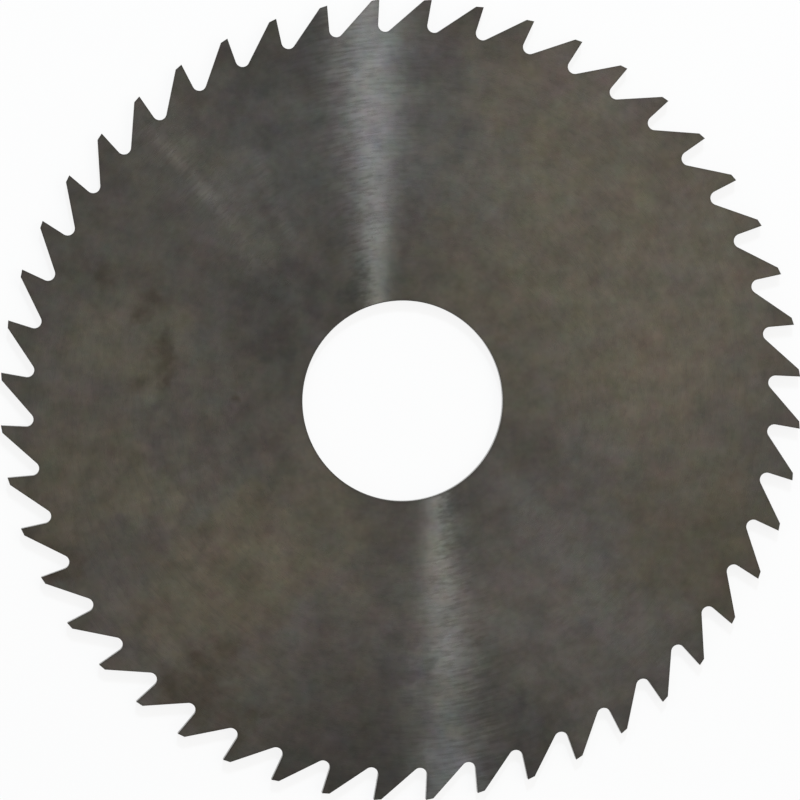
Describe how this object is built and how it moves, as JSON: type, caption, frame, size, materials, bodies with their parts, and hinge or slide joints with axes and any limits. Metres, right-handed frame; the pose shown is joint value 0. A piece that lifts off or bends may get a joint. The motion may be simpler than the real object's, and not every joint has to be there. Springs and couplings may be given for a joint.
{
  "type": "slitting saw",
  "caption": "Thin one-piece round saw blade with raked, straight-backed teeth round its rim, hollow-ground sides and a plain arbor bore, for cutting narrow slots.",
  "frame": {"origin": "centre of the arbor bore, on the blade's middle plane", "axes": "+Z along the arbor axis, so that the blade lies flat; +X through a tooth tip; seen from +Z the cutting faces look clockwise"},
  "size_m": [0.1016, 0.1016, 0.0016],
  "materials": {
    "ground_blade": "dark grey ground metal with fine circular grinding marks and sharp edges"
  },
  "bodies": {
    "root": {"saw_blade": "ground_blade"}
  },
  "joints": []
}
